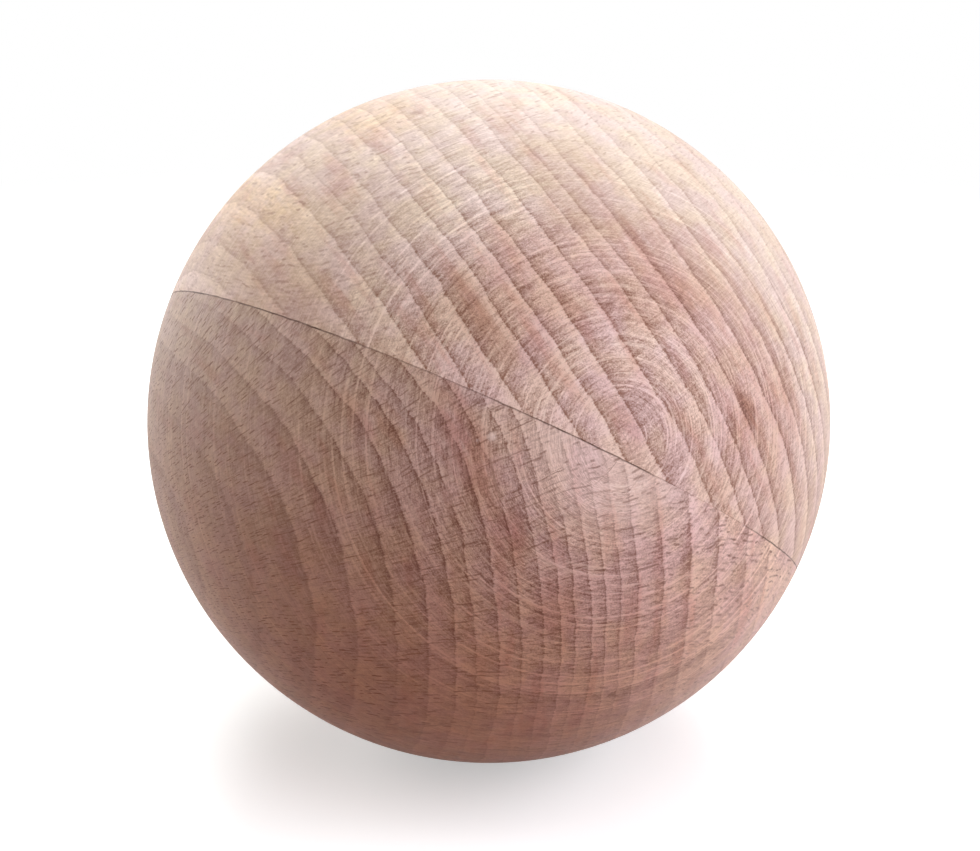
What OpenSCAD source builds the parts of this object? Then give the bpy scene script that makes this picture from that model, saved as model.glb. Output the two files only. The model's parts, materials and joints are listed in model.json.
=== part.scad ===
// Wooden ball, turned from two blocks of beech that are glued face to face.
// The origin is the centre of the ball, and +Z is up as the ball lies.

/* [Ball] */
// Diameter of the turned ball
ball_d = 100; // [60:1:150]

/* [Glue joint] */
// Height of the joint over the ball's centre, square to the joint (below it when negative)
joint_offset = -2.8; // [-20:0.1:20]
// Lean of the joint from level, in degrees
joint_lean = 35.1; // [0:0.1:90]
// Turn of that lean about the vertical, in degrees
joint_turn = 45.8; // [-180:0.1:180]

/* [Colours] */
// Colour of the upper block
upper_colour = "#d6bba6"; // [#d6bba6:light beech, #c7a68c:steamed beech, #e3cfb4:maple]
// Colour of the lower block
lower_colour = "#c8a794"; // [#c8a794:steamed beech, #d6bba6:light beech, #a9805f:walnut]

/* [Hidden] */
ball_r = ball_d / 2;
// Sides of the circle that stands for the turned arc
arc_steps = 180;

// Sets its children on the joint: their XY plane becomes the glued face.
module on_joint() {
    rotate([0, joint_lean, joint_turn])
        translate([0, 0, joint_offset])
            children();
}

// Half of the ball's section on one side of the joint, against the turning axis.
// side is 1 over the joint and -1 under it.
module block_section(side) {
    intersection() {
        translate([0, -joint_offset])
            circle(r = ball_r, $fn = arc_steps);
        translate([0, side > 0 ? 0 : -ball_d])
            square(ball_d);
    }
}

// One block of the ball: a segment with a turned face and a flat glued face.
module block(side) {
    on_joint()
        rotate_extrude($fn = arc_steps)
            block_section(side);
}

module upper_block() {
    color(upper_colour) block(1);
}

module lower_block() {
    color(lower_colour) block(-1);
}

upper_block();
lower_block();
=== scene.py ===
import json
import math
from collections import namedtuple

import bmesh
import bpy
from mathutils import Matrix, Vector

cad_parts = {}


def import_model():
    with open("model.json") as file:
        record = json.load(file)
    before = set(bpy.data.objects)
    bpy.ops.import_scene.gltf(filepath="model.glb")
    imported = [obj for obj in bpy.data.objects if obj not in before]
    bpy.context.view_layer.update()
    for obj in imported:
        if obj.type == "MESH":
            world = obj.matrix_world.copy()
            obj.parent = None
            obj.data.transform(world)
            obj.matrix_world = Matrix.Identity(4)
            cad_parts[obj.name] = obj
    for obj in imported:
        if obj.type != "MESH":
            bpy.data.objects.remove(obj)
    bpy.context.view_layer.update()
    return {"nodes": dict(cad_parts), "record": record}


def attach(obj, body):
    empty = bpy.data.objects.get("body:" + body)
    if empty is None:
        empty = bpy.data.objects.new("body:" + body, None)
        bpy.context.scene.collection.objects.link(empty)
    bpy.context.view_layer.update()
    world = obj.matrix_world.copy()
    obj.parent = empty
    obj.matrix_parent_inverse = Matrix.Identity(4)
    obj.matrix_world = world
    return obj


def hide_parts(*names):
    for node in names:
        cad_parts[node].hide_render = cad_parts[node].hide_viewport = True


# A wooden ball, turned from two blocks of beech that are glued face to face.
# Lengths are in metres on the objects, and in millimetres inside the materials.

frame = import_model()

MM = 0.001
BODY = "root"

# ---------------------------------------------------------------- places from the frame

REST_MOUNT = frame["record"]["mounts"][0]
BALL_R = REST_MOUNT["dims"]["r_mm"] * MM
FLOOR_Z = REST_MOUNT["pos_m"][2]

# A face of a block lies on the glued joint if its middle is nearer than this share of the radius.
FLAT_SHARE = 0.98


def glued_face(node):
    """The direction that a block's glued face looks in, and the face's height along it."""
    normal = Vector()
    height = 0.0
    area = 0.0
    for face in frame["nodes"][node].data.polygons:
        if face.center.length < FLAT_SHARE * BALL_R:
            normal += face.normal * face.area
            height += face.center.dot(face.normal) * face.area
            area += face.area
    return normal.normalized(), height / area


JOINT_DOWN, JOINT_DEPTH = glued_face("upper_block")
JOINT_UP = -JOINT_DOWN
JOINT_RISE = -JOINT_DEPTH

# ---------------------------------------------------------------- the turned blocks

ARC_STEPS = 96
TURN_STEPS = 360
GLUE_CUTS = 6
# The corner beside the glue is rubbed down by this much, which leaves a hair-fine groove.
EASED = 0.05 * MM
MERGE = 0.001 * MM

# Edges that fold by less than this are shaded smooth.
CREASE = math.radians(20)
# While a block is made its glued face looks straight down, so its normal's height is below this.
LOOKS_DOWN = -0.999

# The bake's layout: the turned face fills the square, and the glued face sits in a corner.
UV_DISC = 0.497
UV_CORNER = 0.93
UV_CORNER_R = 0.055


def half_section(bm, rise):
    """Draws the block's edge from its pole over the turned arc to the axis along the glued face."""
    pole = bm.verts.new((0, 0, BALL_R))
    arc = bmesh.ops.spin(
        bm,
        geom=[pole],
        cent=(0, 0, 0),
        axis=(0, 1, 0),
        dvec=(0, 0, 0),
        angle=math.acos(rise / BALL_R),
        steps=ARC_STEPS,
        use_merge=False,
    )
    rim = [v for v in arc["geom_last"] if isinstance(v, bmesh.types.BMVert)]
    middle = bmesh.ops.extrude_vert_indiv(bm, verts=rim)
    middle["verts"][0].co = (0, 0, rise)
    bmesh.ops.subdivide_edges(bm, edges=middle["edges"], cuts=GLUE_CUTS)


def on_rim(edge, rise):
    """True for the edges where the turned face meets the glued one."""
    rim_r = math.sqrt(BALL_R**2 - rise**2)
    return all(abs(v.co.z - rise) < MERGE and v.co.xy.length > rim_r - MERGE for v in edge.verts)


def lay_out_for_bake(bm, rise):
    """Lays the turned face out by its distance from the pole, and the glued face small in a corner."""
    layer = bm.loops.layers.uv.new("OFBake")
    farthest = math.acos(rise / BALL_R)
    for face in bm.faces:
        glued_side = face.normal.z < LOOKS_DOWN
        for loop in face.loops:
            around = loop.vert.co.xy
            if glued_side:
                spot = Vector((UV_CORNER, UV_CORNER)) + around / BALL_R * UV_CORNER_R
            else:
                angle = math.atan2(around.length, loop.vert.co.z)
                reach = UV_DISC * angle / farthest
                spot = Vector((0.5, 0.5))
                if around.length > MERGE:
                    spot += around.normalized() * reach
            loop[layer].uv = spot


def turned_block(name, up, rise):
    """One block of the ball. up points from the glued face to the pole, and rise is its height."""
    bm = bmesh.new()
    half_section(bm, rise)
    bmesh.ops.spin(
        bm,
        geom=bm.verts[:] + bm.edges[:],
        cent=(0, 0, 0),
        axis=(0, 0, 1),
        dvec=(0, 0, 0),
        angle=math.tau,
        steps=TURN_STEPS,
        use_merge=True,
    )
    bmesh.ops.remove_doubles(bm, verts=bm.verts, dist=MERGE)
    bmesh.ops.bevel(
        bm,
        geom=[edge for edge in bm.edges if on_rim(edge, rise)],
        offset=EASED,
        offset_type="OFFSET",
        affect="EDGES",
        segments=1,
        profile=0.5,
        material=-1,
    )
    bmesh.ops.recalc_face_normals(bm, faces=bm.faces)
    lay_out_for_bake(bm, rise)
    for face in bm.faces:
        face.smooth = face.calc_center_median().length > FLAT_SHARE * BALL_R
    for edge in bm.edges:
        edge.smooth = edge.calc_face_angle(0) < CREASE
    bm.transform(up.to_track_quat("Z", "Y").to_matrix().to_4x4())
    mesh = bpy.data.meshes.new(name)
    bm.to_mesh(mesh)
    bm.free()
    piece = bpy.data.objects.new(name, mesh)
    bpy.context.scene.collection.objects.link(piece)
    return piece


# ---------------------------------------------------------------- shader maths


class Value:
    """A shader socket that takes part in sums: each operator adds the node that works it out."""

    def __init__(self, nodes, socket):
        self.nodes = nodes
        self.socket = socket

    def maths(self, operation, *values):
        return self.nodes.add("ShaderNodeMath", {"operation": operation}, dict(enumerate(values)))

    def __add__(self, other):
        return self.maths("ADD", self, other)

    def __radd__(self, other):
        return self.maths("ADD", other, self)

    def __sub__(self, other):
        return self.maths("SUBTRACT", self, other)

    def __rsub__(self, other):
        return self.maths("SUBTRACT", other, self)

    def __mul__(self, other):
        return self.maths("MULTIPLY", self, other)

    def __rmul__(self, other):
        return self.maths("MULTIPLY", other, self)

    def __truediv__(self, other):
        return self.maths("DIVIDE", self, other)

    def __rtruediv__(self, other):
        return self.maths("DIVIDE", other, self)

    def __pow__(self, other):
        return self.maths("POWER", self, other)

    def __rpow__(self, other):
        return self.maths("POWER", other, self)

    def __abs__(self):
        return self.maths("ABSOLUTE", self)

    def floor(self):
        return self.maths("FLOOR", self)

    def fract(self):
        return self.maths("FRACT", self)

    def above(self, low, high):
        """0 below low, 1 over high, and a smooth step between them."""
        settings = {"interpolation_type": "SMOOTHSTEP"}
        inputs = {"Value": self, "From Min": low, "From Max": high}
        return self.nodes.add("ShaderNodeMapRange", settings, inputs)

    def below(self, low, high):
        return 1 - self.above(low, high)

    def clamped(self):
        """Kept between 0 and 1."""
        return self.nodes.add("ShaderNodeClamp", None, {"Value": self})

    def near(self, middle, half):
        """1 at middle, falling smoothly to 0 at half away on either side."""
        return abs(self - middle).below(0, half)

    def within(self, start, full, waning, end):
        """Rises from start to full, and falls again from waning to end."""
        return self.above(start, full) * self.below(waning, end)

    def in_cell(self, margin):
        """Turns a number from 0 to 1 into a place in a cell that keeps off its two edges."""
        return margin + (1 - 2 * margin) * self


class Nodes:
    """The node tree of a material or a world, and the one way in which nodes are added to it."""

    def __init__(self, owner):
        owner.use_nodes = True
        self.tree = owner.node_tree
        self.tree.nodes.clear()

    def add(self, kind, settings=None, inputs=None, output=0):
        """Adds a node with its settings, then the values or links of its sockets."""
        made = self.tree.nodes.new(kind)
        for name, value in (settings or {}).items():
            if name == "stops":
                set_stops(made.color_ramp, value)
            elif name == "points":
                set_points(made.mapping, value)
            else:
                setattr(made, name, value)
        for name, value in (inputs or {}).items():
            if isinstance(value, Value):
                self.tree.links.new(value.socket, made.inputs[name])
            else:
                made.inputs[name].default_value = value
        return Value(self, made.outputs[output]) if made.outputs else None

    def vector(self, operation, *values, output=0):
        settings = {"operation": operation}
        return self.add("ShaderNodeVectorMath", settings, dict(enumerate(values)), output)

    def along(self, place, direction):
        """How far place reaches along a direction."""
        return self.vector("DOT_PRODUCT", place, tuple(direction), output="Value")

    def joined(self, x, y, z):
        return self.add("ShaderNodeCombineXYZ", None, {"X": x, "Y": y, "Z": z})

    def noise(self, place, size=1.0, detail=0.0, roughness=0.5):
        """Soft noise from about -0.5 to 0.5, with features of about this size."""
        inputs = {"Vector": place, "Scale": 1 / size, "Detail": detail, "Roughness": roughness}
        return self.add("ShaderNodeTexNoise", None, inputs) - 0.5

    def chance(self, *values):
        """A steady random number from 0 to 1 for each set of whole numbers."""
        settings = {"noise_dimensions": "3D"}
        return self.add("ShaderNodeTexWhiteNoise", settings, {"Vector": self.joined(*values)})

    def blend(self, share, first, second, mode="MIX"):
        """Mixes two colours, through the Mix node's colour sockets."""
        settings = {"data_type": "RGBA", "blend_type": mode}
        return self.add("ShaderNodeMix", settings, {0: share, 6: first, 7: second}, output=2)

    def tinted(self, share, colour, code):
        """The colour, multiplied by a screen colour over this share of the surface."""
        return self.blend(share, colour, linear(code), "MULTIPLY")

    def shows_white(self):
        """1 for rays that show the white surroundings: in plain view, mirrored or through glass."""
        kinds = ("Is Camera Ray", "Is Glossy Ray", "Is Transmission Ray")
        return sum(self.add("ShaderNodeLightPath", output=kind) for kind in kinds).clamped()


def set_stops(ramp, stops):
    """Gives a ramp its grey levels, as pairs of place and level."""
    while len(ramp.elements) > 1:
        ramp.elements.remove(ramp.elements[-1])
    for index, (place, level) in enumerate(stops):
        element = ramp.elements[0] if index == 0 else ramp.elements.new(place)
        element.position = place
        element.color = (level, level, level, 1)


def set_points(mapping, points):
    """Gives a curve straight stretches between these points."""
    curve = mapping.curves[0]
    while len(curve.points) < len(points):
        curve.points.new(0.5, 0.5)
    for point, place in zip(curve.points, points):
        point.location = place
        point.handle_type = "VECTOR"
    mapping.update()


def linear(code):
    """The shader's linear colour for a screen colour such as '#d6bba6'."""
    levels = [int(code[i : i + 2], 16) / 255 for i in (1, 3, 5)]
    return tuple(((x + 0.055) / 1.055) ** 2.4 if x > 0.04045 else x / 12.92 for x in levels) + (1.0,)


# ---------------------------------------------------------------- the boards

# A stretch of wood with a colour of its own: the middle and the half spans of its ring and ray
# coordinates in mm, the screen colour that it is multiplied by, and how much of that shows
Patch = namedtuple("Patch", "ring ray half_ring half_ray code share")


class Board:
    """How one board's wood runs through the ball, and how it looks."""

    def __init__(self, name, grain, outward, pith, bends, first_ring, ring_widths, looks, patches):
        self.name = name
        # Along the fibres, from the tree's middle towards its bark, and square to both
        self.grain = Vector(grain).normalized()
        self.outward = (Vector(outward) - Vector(outward).dot(self.grain) * self.grain).normalized()
        self.across = self.outward.cross(self.grain)
        # How far the tree's middle lies from the ball's, in ball radii
        self.pith = pith
        # How the rings stray from true cylinders, in ball radii
        self.bends = bends
        # Where the first ring starts, and each ring's width outwards from there, in mm
        self.first_ring = first_ring
        self.ring_widths = ring_widths
        # Screen colours, and how strongly each kind of mark shows. Rings have two strengths,
        # the first where the surface runs along the fibres and the second on end grain.
        # The pith tint colours the wood towards the pith. On the lower board it is partly the wood's
        # own greyer colour there and partly painted shade, because that board's pith side is the
        # ball's lower left. far tints the wood away from the spindle.
        # flat_rays is the share of the rays lost on the flat sides, rubbed how pale the wood is
        # at the spindle, and least_worn how strong the lathe's marks are farthest from it.
        # seed picks the chances of the rings.
        self.looks = looks
        # The patches of another colour
        self.patches = patches


UPPER = Board(
    "upper_beech",
    grain=(0.419, -0.875, 0.247),
    outward=(-0.864, -0.467, -0.190),
    pith=50.0,
    bends={
        "lean": -0.041,
        "bow": 0.076,
        "twist": -0.235,
        "fan": 0.174,
        "cup": 0.042,
        "curl": -0.141,
        "swing": 0.133,
        "flare": 0.226,
        "dip": 0.0,
        "sag": 0.0,
    },
    first_ring=-50.5,
    ring_widths=(
        (4.6, 4.4, 4.0, 5.0, 4.5, 4.0, 3.5, 4.0, 4.6, 3.3, 2.8)
        + (4.0, 4.8, 3.9, 4.1, 4.9, 4.3, 4.2, 5.9, 5.9, 3.6, 4.0)
    ),
    looks={
        "early": "#f0dfd9",
        "late": "#937163",
        "pale": "#fbf0e9",
        "ray": "#8a6555",
        "heart_and_shade": "#ffffff",
        "far": "#fbfef5",
        "rings": (0.74, 1.25),
        "rays": 0.55,
        "flat_rays": 0.0,
        "streaks": 1.3,
        "scratches": 1.3,
        "least_worn": 0.16,
        "rubbed": 0.0,
        "seed": 3.1,
    },
    patches=(
        Patch(13.5, 24.0, 3.2, 8.0, "#c9a892", 0.55),
        Patch(-12.8, -4.0, 2.0, 6.0, "#c08a66", 0.60),
        Patch(-13.6, 14.0, 2.4, 5.0, "#cf9c84", 0.40),
        Patch(4.4, 5.0, 2.6, 6.0, "#cfa3a6", 0.45),
        Patch(30.0, 42.0, 9.0, 6.0, "#fff3d2", 0.60),
        Patch(6.0, 48.0, 12.0, 4.0, "#fff0d0", 0.50),
        Patch(-10.0, 34.0, 10.0, 9.0, "#e9ddd4", 0.65),
        Patch(34.0, 34.0, 8.0, 9.0, "#e6dad0", 0.65),
    ),
)

LOWER = Board(
    "lower_beech",
    grain=(0.083, -0.908, 0.410),
    outward=(0.918, 0.230, 0.323),
    pith=1.83,
    bends={
        "lean": 0.050,
        "bow": -0.060,
        "twist": -0.066,
        "fan": 0.001,
        "cup": 0.204,
        "curl": -0.087,
        "swing": 0.345,
        "flare": -0.113,
        "dip": -0.092,
        "sag": -0.061,
    },
    first_ring=-51.5,
    ring_widths=(
        (5.3, 6.6, 6.4, 4.6, 4.4, 3.4, 3.0, 2.2, 2.6, 2.6, 2.6, 2.2, 1.8)
        + (2.2, 2.0, 2.2, 2.4, 3.8, 4.6, 5.0, 6.2, 5.5, 5.0, 4.5, 5.0)
    ),
    looks={
        "early": "#fbe8e4",
        "late": "#97766c",
        "pale": "#f8eae3",
        "ray": "#74503f",
        # The lower board's pith tint: its own greyer wood, and painted shade on the ball's lower left
        "heart_and_shade": "#a8a497",
        "far": "#fffef4",
        "rings": (0.54, 1.08),
        "rays": 1.6,
        "flat_rays": 0.62,
        "streaks": 1.35,
        "scratches": 1.4,
        "least_worn": 0.40,
        "rubbed": 0.40,
        "seed": 8.6,
    },
    patches=(
        Patch(-11.8, 4.0, 3.8, 15.0, "#cfa194", 0.58),
        Patch(-9.5, 16.0, 1.8, 5.0, "#c89082", 0.45),
        Patch(-6.0, 27.0, 5.0, 6.0, "#cf9a80", 0.35),
        Patch(-33.0, 9.0, 6.0, 8.0, "#d6a594", 0.15),
        Patch(2.0, 9.0, 8.0, 6.0, "#fff4ff", 0.40),
    ),
)

# ---------------------------------------------------------------- places on the surface

BALL_MM = BALL_R / MM

# Where the lathe held the ball: the marks of turning and sanding run round this line.
SPINDLE = Vector((0.329, -0.901, 0.284)).normalized()
SPINDLE_SIDE = JOINT_UP.cross(SPINDLE).normalized()
SPINDLE_UP = SPINDLE.cross(SPINDLE_SIDE)

# How much of the radius a point lies out along the fibres where its surface turns into end
# grain, and how much it lies out across them where the surface turns into a flat side
END_GRAIN = (0.40, 0.92)
FLAT_SIDE = (0.44, 0.84)

# The share of an arc, round its middle, where a lathe mark has its full strength
ARC_CORE = 0.4

# The shoulder over the spindle was sanded smoother: the middle and half span of its arc in
# degrees, and the distances from the spindle in mm over which it sets in
SHOULDER_ARC = (90, 50)
SHOULDER_START = (10, 34)


class Places:
    """Where a point of the surface lies in its board's wood and round the spindle, in mm."""

    def __init__(self, g, board):
        here = g.add("ShaderNodeTexCoord", output="Object")
        self.point = g.vector("MULTIPLY", here, (1 / MM, 1 / MM, 1 / MM))
        self.place_in_wood(g, board)
        self.place_on_lathe(g)

    def place_in_wood(self, g, board):
        """The ring coordinate runs outwards, the ray one round the tree and the grain one along it."""
        n = g.along(self.point, board.outward) / BALL_MM
        t = g.along(self.point, board.across) / BALL_MM
        a = g.along(self.point, board.grain) / BALL_MM
        b = board.bends
        from_pith = n + board.pith
        arc = (from_pith * from_pith + t * t) ** 0.5 - board.pith
        stray = a * (b["lean"] + b["bow"] * a + b["twist"] * t + b["fan"] * n)
        stray = stray + n * t * b["cup"] + n * a * a * b["curl"]
        stray = stray + n * n * (b["swing"] * t + b["flare"] * a)
        stray = stray + t * t * t * b["dip"] + a * a * a * b["sag"]
        round_tree = t.maths("ARCTAN2", t, from_pith) * board.pith
        round_tree = round_tree - n * (b["twist"] * a + b["cup"] / 2 * n + b["swing"] / 3 * n * n)
        self.ring = (arc + stray) * BALL_MM
        self.ray = round_tree * BALL_MM
        self.grain = a * BALL_MM
        # From -1 on the side towards the tree's middle to 1 on the side towards its bark
        self.outward_share = n
        self.flat_side = abs(t).above(*FLAT_SIDE)
        self.end_grain = abs(a).above(*END_GRAIN)

    def place_on_lathe(self, g):
        """The distance over the surface from the spindle, and the two directions across it."""
        self.side = g.along(self.point, SPINDLE_SIDE)
        self.up = g.along(self.point, SPINDLE_UP)
        off_axis = (self.side * self.side + self.up * self.up) ** 0.5
        forward = g.along(self.point, SPINDLE)
        self.turned = off_axis.maths("ARCTAN2", off_axis, forward) * BALL_MM
        self.side_share = self.side / off_axis
        self.up_share = self.up / off_axis
        self.smooth = self.on_arc(*SHOULDER_ARC) * self.turned.above(*SHOULDER_START)

    def on_arc(self, middle, half):
        """1 along an arc round the spindle. Its middle and half span are in degrees."""
        middle = math.radians(middle)
        ahead = self.side_share * math.cos(middle) + self.up_share * math.sin(middle)
        return ahead.above(math.cos(math.radians(half)), math.cos(math.radians(half * ARC_CORE)))

    def drawn(self, g, size):
        """The place in the wood, counted in a mark's sizes along the ring, ray and grain."""
        ring, ray, grain = size
        return g.joined(self.ring / ring, self.ray / ray, self.grain / grain)


# ---------------------------------------------------------------- rings, fibres and rays

# The grey levels through one ring, from its start to the dark line that ends it: the wood's own
# tone from early to late wood, with a painted highlight in the bright peak just after the start
RING_TONES_AND_HIGHLIGHT = (
    (0.0, 0.80),
    (0.06, 1.0),
    (0.22, 0.80),
    (0.50, 0.60),
    (0.80, 0.40),
    (0.90, 0.20),
    (0.945, 0.0),
    (0.97, 0.06),
    (1.0, 0.80),
)
RING_MEAN = 0.55

# Ring lines wander by soft noise, with features of a size and by a distance, both in mm, and
# the streaks make them jagged by a distance in mm.
RING_WANDER = ((9.0, 0.9), (2.2, 0.5))
RING_JAGGED = 0.35

# Each ring has a chance of its own: it adds to the least strength, and moves the ring's shade.
RING_LEAST = 0.75
RING_CHANCE = 0.4
RING_SHADES = 0.12

# The share of the rings' strength lost on the smooth shoulder, and that lost far from the
# spindle, with the distances in mm over which it goes
RING_LOST_SMOOTH = 0.20
RING_LOST_FAR = 0.40
RING_FAR = (22, 50)

# Sizes of marks in the wood along the ring, ray and grain directions, in mm
STREAK_SIZE = (2.4, 0.27, 1.2)
FIBRE_SIZE = (0.34, 0.34, 3.0)
RUST_SIZE = (2.4, 12.0, 12.0)
RAGGED_SIZE = (0.9, 5.0, 5.0)

# How much of the streaks stays where the surface runs along the fibres
STREAKS_ALONG = 0.55

# Sizes of soft patches in mm, and how much they and the fibres change the tone
MOTTLE_SIZE = 4.0
CLOUD_SIZE = 20.0
MOTTLE_TONE = 0.6
CLOUD_TONE = 0.3
FIBRE_TONE = 0.5


def ring_number(g, board, ring):
    """Counts the rings outwards, so that each ring line is a whole number."""
    edges = [board.first_ring]
    for width in board.ring_widths:
        edges.append(edges[-1] + width)
    span = edges[-1] - edges[0]
    count = len(board.ring_widths)
    points = [((edge - edges[0]) / span, index / count) for index, edge in enumerate(edges)]
    share = (ring - edges[0]) / span
    return g.add("ShaderNodeFloatCurve", {"points": points}, {"Value": share}) * count


def cross_streaks(g, at):
    """Fine streaks across the rings, where the saw and the sander opened the fibres."""
    return g.noise(at.drawn(g, STREAK_SIZE), detail=1.0, roughness=0.6)


def ring_tone(g, at, board, streaks):
    """The rings: darker towards each line, a painted highlight just past it, and jagged edges where
    fibres cross them.
    """
    wander = sum(g.noise(at.point, size) * reach for size, reach in RING_WANDER)
    number = ring_number(g, board, at.ring + (wander + streaks * RING_JAGGED))
    chance = g.chance(number.floor(), board.looks["seed"], 0)
    # The bright peak just past each ring line is a painted highlight of the ring's edge
    profile = g.add("ShaderNodeValToRGB", {"stops": RING_TONES_AND_HIGHLIGHT}, {"Fac": number.fract()})
    along_fibres, on_end_grain = board.looks["rings"]
    strength = along_fibres + (on_end_grain - along_fibres) * at.end_grain
    strength = strength * (RING_LEAST + RING_CHANCE * chance) * (1 - RING_LOST_SMOOTH * at.smooth)
    strength = strength * (1 - RING_LOST_FAR * at.turned.above(*RING_FAR))
    return (profile - RING_MEAN) * strength + (chance - 0.5) * RING_SHADES


def fibre_tone(g, at, board, streaks):
    """The grain between the rings: streaks and fibres, and soft patches of two sizes."""
    fibres = g.noise(at.drawn(g, FIBRE_SIZE), detail=1.0, roughness=0.6)
    mottle = g.noise(at.point, MOTTLE_SIZE, detail=2.0, roughness=0.6)
    cloud = g.noise(at.point, CLOUD_SIZE, detail=1.0)
    opened = board.looks["streaks"] * (STREAKS_ALONG + (1 - STREAKS_ALONG) * at.end_grain)
    soft = mottle * MOTTLE_TONE + cloud * CLOUD_TONE
    return streaks * opened + fibres * FIBRE_TONE + soft


# The two sizes of ray, in mm: the gap between neighbours, the height along the grain, the depth
# along the ring direction and the thickness; then a seed and how dark they are
SMALL_RAYS = (0.72, 0.8, 1.3, 0.19, 5, 1.0)
TALL_RAYS = (1.9, 1.9, 4.6, 0.16, 9, 0.75)

# The rays sway by soft noise, with features of a size and by a distance, both in mm.
RAY_SWAY = (((7.0, 7.0, 7.0), 1.4), ((0.9, 3.0, 3.0), 0.22))

# How near a ray comes to the edge of its cell, the core that is fully dark, both as shares, and
# the faintest ray beside the darkest
RAY_MARGIN = 0.25
RAY_CORE = 0.2
RAY_FAINTEST = 0.3

# Rays stop where noise falls through these levels, and neighbours read it these steps apart.
RAY_BREAKS = (0.0, 0.12)
COLUMN_STEP = 7.3
LEVEL_STEP = 5.1

# The share of the rays that end grain hides
RAYS_LOST_END = 0.6


def ray_ends(g, at, gap, height, depth, thick, seed, dark):
    """The dark ends of the rays: fine lines that point outwards, one or none in each cell."""
    sway = sum(g.noise(at.drawn(g, size)) * reach for size, reach in RAY_SWAY)
    strand = (at.ray + sway) / gap
    column = strand.floor()
    story = at.grain / height + g.chance(column, seed, 2)
    level = story.floor()
    middle = g.chance(column, level, seed).in_cell(RAY_MARGIN)
    lens = (1 - (2 * story.fract() - 1) ** 2) ** 0.5
    line = abs(strand.fract() - middle).below(RAY_CORE * thick / gap, lens * thick / gap)
    reach = g.joined(at.ring / depth, column * COLUMN_STEP, level * LEVEL_STEP)
    faint = RAY_FAINTEST + (1 - RAY_FAINTEST) * g.chance(column, level, seed + 1)
    return line * g.noise(reach).above(*RAY_BREAKS) * faint * dark


def rays(g, at, board):
    """How dark the ray ends are, over the surface."""
    ends = ray_ends(g, at, *SMALL_RAYS) + ray_ends(g, at, *TALL_RAYS)
    shown = board.looks["rays"] * (1 - RAYS_LOST_END * at.end_grain)
    shown = shown * (1 - board.looks["flat_rays"] * at.flat_side)
    return (ends.clamped() * shown).clamped()


# ---------------------------------------------------------------- marks of the lathe

# Marks that run round the spindle: width over the surface and length, in mm
SCRATCH_SIZE = (0.26, 1.0)
SCORE_SIZE = (0.40, 7.0)
GROOVE_SIZE = (0.85, 14.0)
GRIT_SIZE = 0.21

# Next to the spindle the circles are too small to show. These are distances from it in mm.
SETTLED = (1.5, 6.0)

# The marks are strongest round the spindle, and fade over these distances from it in mm. The
# smooth shoulder loses this share of them.
WEAR_FADES = (20, 52)
WEAR_LOST_SMOOTH = 0.50

# Stronger lines that the tool left, as circles round the spindle: radius over the surface and
# half width in mm, strength (pale when positive), and the middle and half span of the arc in
# degrees. Noise of a size in mm breaks them where it falls through the two levels.
TOOL_LINES = (
    (31.0, 0.35, 0.80, -60, 115),
    (33.6, 0.25, 0.60, -70, 60),
    (36.9, 0.35, 0.80, -55, 65),
    (23.6, 0.30, 0.60, -70, 60),
    (24.4, 0.30, -0.60, -70, 80),
    (25.0, 0.35, -0.50, 150, 50),
    (41.2, 0.40, -0.50, 150, 40),
)
LINE_BREAK_SIZE = 4.0
LINE_BREAKS = (-0.20, 0.02)

# Fine tool marks: the pitch and the thickness in mm, a seed, and the strength
WIDE_ARCS = (1.15, 0.24, 3, 0.9)
FINE_ARCS = (0.62, 0.16, 7, 0.8)

# How near an arc comes to the edge of its pitch and the core that is at full strength, both as
# shares, how quickly it breaks off along its circle, and the noise levels where it does
ARC_MARGIN = 0.2
ARC_FULL = 0.3
ARC_BREAK_RATE = 1.3
ARC_BREAKS = (-0.04, 0.06)
ARC_STEP = 3.7
# An arc's shade runs from the dark one up by the range, so that most arcs are pale.
ARC_DARKEST = -0.45
ARC_RANGE = 1.4

# The tool's step, by distance from the spindle in mm: where each edge starts, is full, wanes
# and ends. The pale edge is a painted highlight, and the dark one round it is painted shade.
# Then how strong the edges are, and the middle and half span of their arc in degrees
STEP_HIGHLIGHT = (33.0, 36.5, 36.9, 37.4)
STEP_SHADE = (37.0, 37.4, 37.8, 40.5)
STEP_HIGHLIGHT_STRENGTH = 0.7
STEP_SHADE_STRENGTH = 0.6
STEP_ARC = (-62, 50)

# How far each mark moves the tone
GRIT_TONE = 1.9
GROOVE_TONE = 0.9
LINE_TONE = 0.9
STEP_TONE = 0.45

# The levels between which a mark starts to scuff the wood pale, and how pale it gets there
SCORE_LEVELS = (0.13, 0.24)
SCRATCH_LEVELS = (0.14, 0.30)
GRIT_LEVELS = (0.14, 0.30)
SCORE_PALE = 0.42
SCRATCH_PALE = 0.25
GRIT_PALE = 0.6

# The height of each mark in mm
SCRATCH_HEIGHT = 0.055
GROOVE_HEIGHT = 0.045
LINE_HEIGHT = 0.010


def round_spindle(g, at, size, detail=0.0, roughness=0.5):
    """Noise drawn out along the circles round the spindle."""
    width, length = size
    place = g.joined(at.turned / width, at.side / length, at.up / length)
    return g.noise(place, 1.0, detail, roughness)


def tool_lines(g, at):
    """The stronger circles, each over its own arc and broken here and there."""
    total = 0.0
    for radius, half, strength, middle, span in TOOL_LINES:
        total = total + at.turned.near(radius, half) * at.on_arc(middle, span) * strength
    return total * g.noise(at.point, LINE_BREAK_SIZE).above(*LINE_BREAKS)


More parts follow.
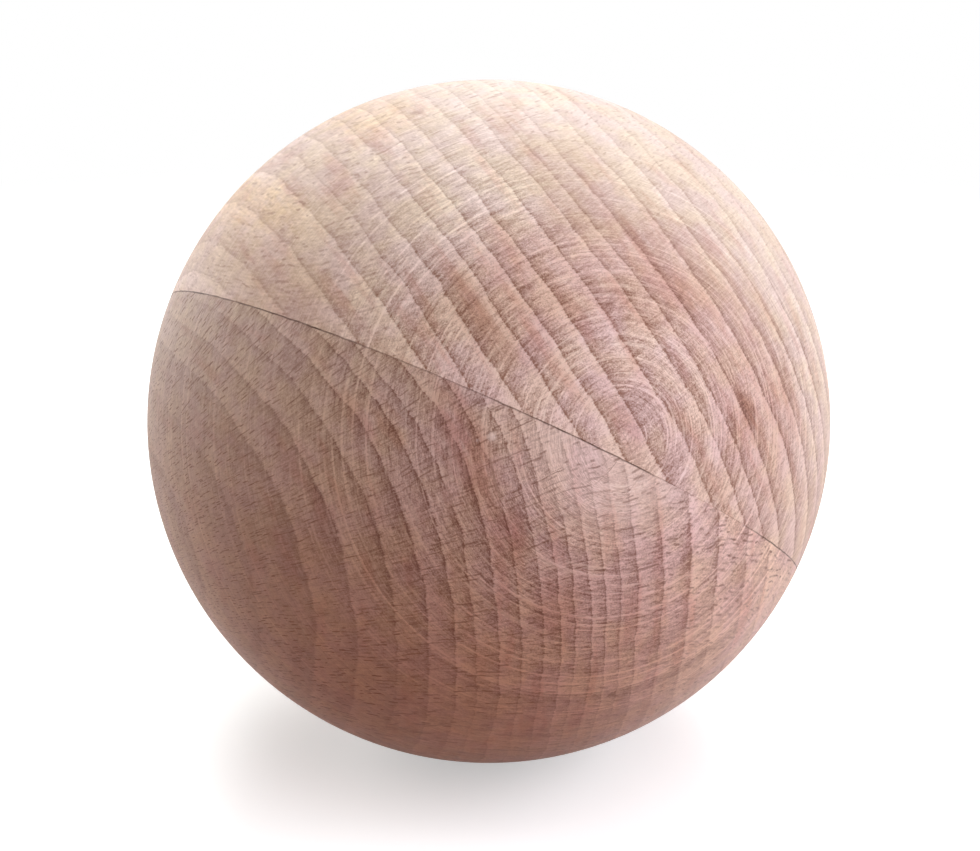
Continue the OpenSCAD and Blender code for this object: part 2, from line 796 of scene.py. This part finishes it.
def tool_arcs(g, at, pitch, thick, seed, strength):
    """Fine tool marks: short arcs round the spindle, mostly pale, one or none at each radius."""
    strand = at.turned / pitch
    column = strand.floor()
    middle = g.chance(column, seed, 0).in_cell(ARC_MARGIN)
    line = abs(strand.fract() - middle).below(ARC_FULL * thick / pitch, thick / pitch)
    side = at.side_share * ARC_BREAK_RATE
    up = at.up_share * ARC_BREAK_RATE
    broken = g.noise(g.joined(side, up, column * ARC_STEP + seed), detail=1.0).above(*ARC_BREAKS)
    return line * broken * (ARC_DARKEST + ARC_RANGE * g.chance(column, seed, 1)) * strength


def tool_step_light_and_shade(at):
    """A shallow tool step low on the front: a painted highlight on its edge, and painted shade round
    it.
    """
    pale = at.turned.within(*STEP_HIGHLIGHT) * STEP_HIGHLIGHT_STRENGTH
    dark = at.turned.within(*STEP_SHADE) * STEP_SHADE_STRENGTH
    return (pale - dark) * at.on_arc(*STEP_ARC)


class Marks:
    """What turning and sanding left on the surface. The scratches are noise round 0."""

    def __init__(self, g, at, board):
        settled = at.turned.above(*SETTLED)
        self.scratch = round_spindle(g, at, SCRATCH_SIZE, detail=1.0, roughness=0.9) * settled
        self.score = round_spindle(g, at, SCORE_SIZE) * settled
        self.groove = round_spindle(g, at, GROOVE_SIZE, detail=1.0, roughness=0.8) * settled
        self.grit = g.noise(at.point, GRIT_SIZE, detail=1.0, roughness=0.9)
        arcs = tool_arcs(g, at, *WIDE_ARCS) + tool_arcs(g, at, *FINE_ARCS)
        self.line = tool_lines(g, at) + arcs
        # The step is painted as a highlight and shade, not built as relief
        self.step = tool_step_light_and_shade(at)
        least = board.looks["least_worn"]
        worn = least + (1 - least) * at.turned.below(*WEAR_FADES)
        self.worn = worn * (1 - WEAR_LOST_SMOOTH * at.smooth)

    def tone(self, board):
        """How much lighter or darker the marks make the wood."""
        fine = self.scratch * board.looks["scratches"] + self.grit * GRIT_TONE
        coarse = self.groove * GROOVE_TONE + self.line * LINE_TONE
        # The step's share of the tone is painted light and shade
        return (fine + coarse) * self.worn + self.step * STEP_TONE

    def scuffs(self):
        """How much of the surface is scuffed pale."""
        scuffed = self.score.above(*SCORE_LEVELS) * SCORE_PALE
        scuffed = scuffed + self.scratch.above(*SCRATCH_LEVELS) * SCRATCH_PALE
        scuffed = scuffed + self.grit.above(*GRIT_LEVELS) * GRIT_PALE
        return (scuffed * self.worn).clamped()

    def relief(self):
        """The height of the marks, in mm."""
        relief = self.scratch * SCRATCH_HEIGHT + self.groove * GROOVE_HEIGHT
        return relief + self.line * LINE_HEIGHT


# ---------------------------------------------------------------- colour

# How far the tones run, from the darkest late wood to the palest early wood, how far they are
# lifted, and the share of their contrast that the smooth shoulder loses
TONE_SPAN = 1.5
TONE_LIFT = 0.05
TONE_LOST_SMOOTH = 0.35

# Blotches run between a warm and a cool tint. Their size is in mm, and the noise levels are
# those where the wood is all warm and all cool.
WARM = "#fffbf3"
COOL = "#fdf7fd"
BLOTCH_SIZE = 5.5
BLOTCH_LEVELS = (-0.14, 0.14)

# Rusty streaks along the fibres: the noise levels where they start and are full
RUST = "#d9a491"
RUST_LEVELS = (0.0, 0.24)
RUST_SHARE = 0.32

# Where the wood's colour runs into the pith tint, as shares of the radius outwards from the pith.
# On the lower board the tint is partly painted shade, darker towards the ball's lower left.
HEART_AND_SHADE_SPAN = (-0.7, 0.7)
HEART_AND_SHADE_SHARE = 0.62

# Patches are full a little inside their edges, which the ragged noise moves in and out.
RAGGED_REACH = 1.2
PATCH_FULL = 1.3
PATCH_RAGGED = 2.2

# Distances from the spindle in mm: where the wood takes its far tint, and where the pale
# rubbed centre ends
FAR_START = (8, 36)
FAR_SHARE = 0.95
RUBBED_END = (7, 15)
RUBBED_RAGGED = 0.3

# The darker band of turning: its two steps in and where it ends, by distance from the spindle
# in mm, and the share of the way up over the joint where it starts and is full
BAND = "#e2ccc4"
BAND_FIRST = (2, 7)
BAND_SECOND = (12, 17)
BAND_FIRST_SHARE = 0.45
BAND_END = (24, 36)
BAND_OVER_JOINT = (-0.3, 0.6)
BAND_SHARE = 0.75

# Pale specks on the front: place and radius in mm, how ragged they are and how pale
PALE_SPECKS = (((0.4, -47.6, 15.4), 0.8), ((-1.3, -47.4, 14.8), 0.5))
SPECK_RAGGED = 0.8
SPECK_SHARE = 0.8

# The glue line: its half width in mm, from full to none, and how far it wanders
GLUE = "#4a2f22"
GLUE_WIDTH = (0.03, 0.16)
GLUE_WANDER_SIZE = 1.4
GLUE_WANDER = 0.12
# How dark it is, and how much that varies over a size in mm
GLUE_DARK = 0.70
GLUE_VARIES = 1.2
GLUE_VARIES_SIZE = 2.0
# Where it fades: the middle and half span in degrees round the joint from its highest point,
# and how much of the line is lost, with soft ends
GLUE_FADES = ((30, 13, 0.55), (78, 12, 0.95))
GLUE_FADE_SOFT = 0.02
GLUE_TOP = (Vector((0, 0, 1)) - JOINT_UP.z * JOINT_UP).normalized()
GLUE_SIDE = JOINT_UP.cross(GLUE_TOP)

# The bare surface: how rough it is, how much smoother the scratches' crests are, and how much
# it mirrors and bristles
ROUGHNESS = 0.60
CREST_SMOOTHER = 0.15
SPECULAR = 0.20
SHEEN = 0.25


def bare_wood(g, at, board, marks):
    """The wood's colour between late and early wood, scuffed paler where it is worn."""
    streaks = cross_streaks(g, at)
    tone = ring_tone(g, at, board, streaks) + fibre_tone(g, at, board, streaks) + marks.tone(board)
    tone = tone * (1 - TONE_LOST_SMOOTH * at.smooth)
    share = (0.5 + (tone + TONE_LIFT) / TONE_SPAN).clamped()
    colour = g.blend(share, linear(board.looks["late"]), linear(board.looks["early"]))
    return g.blend(marks.scuffs(), colour, linear(board.looks["pale"]))


def warmer_and_cooler(g, at, board, colour):
    """Soft blotches, rusty streaks along the fibres, and the tint towards the pith: partly the wood's
    own colour and partly painted shade on the ball's lower left.
    """
    blotch = g.noise(at.point, BLOTCH_SIZE, detail=2.0, roughness=0.6).above(*BLOTCH_LEVELS)
    colour = g.blend(1.0, colour, g.blend(blotch, linear(WARM), linear(COOL)), "MULTIPLY")
    rust = g.noise(at.drawn(g, RUST_SIZE), detail=2.0, roughness=0.6).above(*RUST_LEVELS)
    colour = g.tinted(rust * RUST_SHARE, colour, RUST)
    # Darker towards the pith. On the lower board this is partly painted shade on the ball's lower left
    heart_and_shade = at.outward_share.below(*HEART_AND_SHADE_SPAN)
    return g.tinted(heart_and_shade * HEART_AND_SHADE_SHARE, colour, board.looks["heart_and_shade"])


def ragged_noise(g, at):
    """Noise along the fibres, which makes the edges of patches ragged."""
    return g.noise(at.drawn(g, RAGGED_SIZE), detail=1.0, roughness=0.7) * RAGGED_REACH


def patched(g, at, board, ragged, colour):
    """The board's own patches, with ragged edges."""
    for patch in board.patches:
        inside = at.ring.near(patch.ring, patch.half_ring) * at.ray.near(patch.ray, patch.half_ray)
        inside = (inside * (PATCH_FULL + ragged * PATCH_RAGGED)).clamped()
        colour = g.tinted(inside * patch.share, colour, patch.code)
    return colour


def rubbed_by_lathe(g, at, board, ragged, colour):
    """Paler wood at the spindle, and a darker band of turning round it over the joint."""
    colour = g.tinted(at.turned.above(*FAR_START) * FAR_SHARE, colour, board.looks["far"])
    rubbed = (at.turned.below(*RUBBED_END) + ragged * RUBBED_RAGGED).clamped()
    colour = g.blend(rubbed * board.looks["rubbed"], colour, linear(board.looks["pale"]))
    band = at.turned.above(*BAND_FIRST) * BAND_FIRST_SHARE
    band = band + at.turned.above(*BAND_SECOND) * (1 - BAND_FIRST_SHARE)
    band = band * at.turned.below(*BAND_END) * at.up_share.above(*BAND_OVER_JOINT)
    return g.tinted((band + ragged * band).clamped() * BAND_SHARE, colour, BAND)


def specked(g, at, board, grit, colour):
    """The few pale specks."""
    for speck, radius in PALE_SPECKS:
        away = g.vector("DISTANCE", at.point, speck, output="Value") + grit * SPECK_RAGGED
        share = away.below(0.0, radius) * SPECK_SHARE
        colour = g.blend(share, colour, linear(board.looks["pale"]))
    return colour


def glue_strength(g, at):
    """How dark the glue line is round the joint."""
    strength = GLUE_DARK + g.noise(at.point, GLUE_VARIES_SIZE, detail=1.0) * GLUE_VARIES
    for middle, span, lost in GLUE_FADES:
        middle = math.radians(middle)
        ahead = GLUE_TOP * math.cos(middle) + GLUE_SIDE * math.sin(middle)
        reach = g.along(at.point, ahead) / BALL_MM
        edge = math.cos(math.radians(span))
        faded = reach.above(edge - GLUE_FADE_SOFT, edge + GLUE_FADE_SOFT)
        strength = strength * (1 - lost * faded)
    return strength


def glued(g, at, colour):
    """The glue line, a hair wide and a little uneven."""
    wander = g.noise(at.point, GLUE_WANDER_SIZE) * GLUE_WANDER
    gap = abs(g.along(at.point, JOINT_UP) - JOINT_RISE / MM + wander)
    return g.blend(gap.below(*GLUE_WIDTH) * glue_strength(g, at), colour, linear(GLUE))


def beech(board):
    """Bare sanded beech: rings, rays and fibres through the block, and the marks of the lathe."""
    material = bpy.data.materials.new(board.name)
    g = Nodes(material)
    at = Places(g, board)
    marks = Marks(g, at, board)
    ragged = ragged_noise(g, at)
    colour = bare_wood(g, at, board, marks)
    colour = warmer_and_cooler(g, at, board, colour)
    colour = patched(g, at, board, ragged, colour)
    colour = rubbed_by_lathe(g, at, board, ragged, colour)
    colour = g.blend(rays(g, at, board), colour, linear(board.looks["ray"]))
    colour = specked(g, at, board, marks.grit, colour)
    colour = glued(g, at, colour)
    bump = g.add("ShaderNodeBump", None, {"Height": marks.relief(), "Distance": MM, "Strength": 1.0})
    inputs = {
        "Base Color": colour,
        "Roughness": ROUGHNESS - marks.scratch * CREST_SMOOTHER,
        "Normal": bump,
        "Specular IOR Level": SPECULAR,
        "Sheen Weight": SHEEN,
    }
    shader = g.add("ShaderNodeBsdfPrincipled", None, inputs)
    g.add("ShaderNodeOutputMaterial", None, {"Surface": shader})
    return material


# ---------------------------------------------------------------- the ball

upper = turned_block("upper_turned", JOINT_UP, JOINT_RISE)
lower = turned_block("lower_turned", JOINT_DOWN, -JOINT_RISE)
for piece, board, node in ((upper, UPPER, "upper_block"), (lower, LOWER, "lower_block")):
    piece.data.materials.append(beech(board))
    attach(piece, BODY)
    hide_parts(node)

# ---------------------------------------------------------------- the stage

FLOOR_SIZE = 6.0
PAPER = (0.8, 0.8, 0.8, 1)
PAPER_GLOW = 0.45
# How far from the ball's centre the paper runs into plain white, in ball radii
PAPER_FADES = (4, 9)
# The colour of the floor where its light falls back on the ball
BOUNCE = (0.40, 0.165, 0.11, 1)
# The faint light that comes from all round
SKY = (1.0, 0.75, 0.50, 1)
SKY_STRENGTH = 0.03


def paper():
    """White paper round the ball, with its shadow, which runs into plain white further off."""
    material = bpy.data.materials.new("floor_paper")
    g = Nodes(material)
    lit = g.add("ShaderNodeBsdfDiffuse", None, {"Color": PAPER})
    glow = g.add("ShaderNodeEmission", None, {"Strength": PAPER_GLOW})
    near = g.add("ShaderNodeAddShader", None, {0: lit, 1: glow})
    far = g.add("ShaderNodeEmission", None, {"Strength": 1.0})
    away = g.vector("LENGTH", g.add("ShaderNodeTexCoord", output="Object"), output="Value")
    near_end, far_start = PAPER_FADES
    far_share = away.above(near_end * BALL_R, far_start * BALL_R)
    seen = g.add("ShaderNodeMixShader", None, {0: far_share, 1: near, 2: far})
    bounced = g.add("ShaderNodeBsdfDiffuse", None, {"Color": BOUNCE})
    shown = g.add("ShaderNodeMixShader", None, {0: g.shows_white(), 1: bounced, 2: seen})
    g.add("ShaderNodeOutputMaterial", None, {"Surface": shown})
    return material


def floor():
    """A pale floor that keeps the ball's shadow."""
    bm = bmesh.new()
    bmesh.ops.create_grid(bm, x_segments=1, y_segments=1, size=FLOOR_SIZE / 2)
    bmesh.ops.translate(bm, verts=bm.verts, vec=(0, 0, FLOOR_Z))
    mesh = bpy.data.meshes.new("floor")
    bm.to_mesh(mesh)
    bm.free()
    mesh.materials.append(paper())
    sheet = bpy.data.objects.new("floor", mesh)
    bpy.context.scene.collection.objects.link(sheet)


def world():
    """Plain white past the floor, in view and mirrored, and a faint warm light on the ball."""
    sky = bpy.data.worlds.new("studio")
    bpy.context.scene.world = sky
    g = Nodes(sky)
    soft = g.add("ShaderNodeBackground", None, {"Color": SKY, "Strength": SKY_STRENGTH})
    white = g.add("ShaderNodeBackground", None, {"Color": (1, 1, 1, 1), "Strength": 1.0})
    shown = g.add("ShaderNodeMixShader", None, {0: g.shows_white(), 1: soft, 2: white})
    g.add("ShaderNodeOutputWorld", None, {"Surface": shown})


# The camera stands in front of the ball and a little above it. The shift is in image widths.
CAMERA_RISE = math.radians(20)
CAMERA_DISTANCE = 5.0 * BALL_R
CAMERA_LENS = 61.5
CAMERA_SHIFT = (0.0012, -0.0043)
CAMERA_CLIP = 0.01
CAMERA_BACK = Vector((0, -math.cos(CAMERA_RISE), math.sin(CAMERA_RISE)))
CAMERA_UP = Vector((0, math.sin(CAMERA_RISE), math.cos(CAMERA_RISE)))
CAMERA_RIGHT = Vector((1, 0, 0))


def aimed(data, place):
    """Puts a camera or a lamp at a place, looking at the ball's centre."""
    piece = bpy.data.objects.new(data.name, data)
    turn = place.to_track_quat("Z", "Y")
    piece.matrix_world = Matrix.Translation(place) @ turn.to_matrix().to_4x4()
    bpy.context.scene.collection.objects.link(piece)
    return piece


def camera():
    """Looks a little down at the ball's centre, from its front."""
    data = bpy.data.cameras.new("camera")
    data.lens = CAMERA_LENS
    data.shift_x, data.shift_y = CAMERA_SHIFT
    data.clip_start = CAMERA_CLIP
    bpy.context.scene.camera = aimed(data, CAMERA_BACK * CAMERA_DISTANCE)


LAMP_DISTANCE = 1.2
LAMP_SIZE = 0.8
# Each lamp: how far round from the camera and at which hour of a clock face it stands, in
# degrees as seen from the camera, its power in watts and its colour
LAMPS = {
    "key": (35, 30, 6.0, (1.08, 0.94, 0.96)),
    "high": (60, 0, 5.2, (0.95, 1.03, 1.05)),
    "side": (83, 69, 11.2, (0.90, 1.00, 1.08)),
    "left_rim": (110, -63, 8.6, (0.99, 0.99, 0.96)),
    "top_rim": (110, 0, 13.2, (0.98, 1.02, 1.01)),
}


def lamp(name, round_from_camera, clock, power, colour):
    """A square soft lamp that looks at the ball's centre."""
    data = bpy.data.lights.new(name, "AREA")
    data.size = LAMP_SIZE
    data.energy = power
    data.color = colour
    angle = math.radians(round_from_camera)
    clock = math.radians(clock)
    sideways = CAMERA_UP * math.cos(clock) + CAMERA_RIGHT * math.sin(clock)
    place = CAMERA_BACK * math.cos(angle) + sideways * math.sin(angle)
    aimed(data, place * LAMP_DISTANCE)


floor()
world()
for lamp_name, lamp_settings in LAMPS.items():
    lamp(lamp_name, *lamp_settings)
camera()
bpy.context.scene.view_settings.view_transform = "Standard"
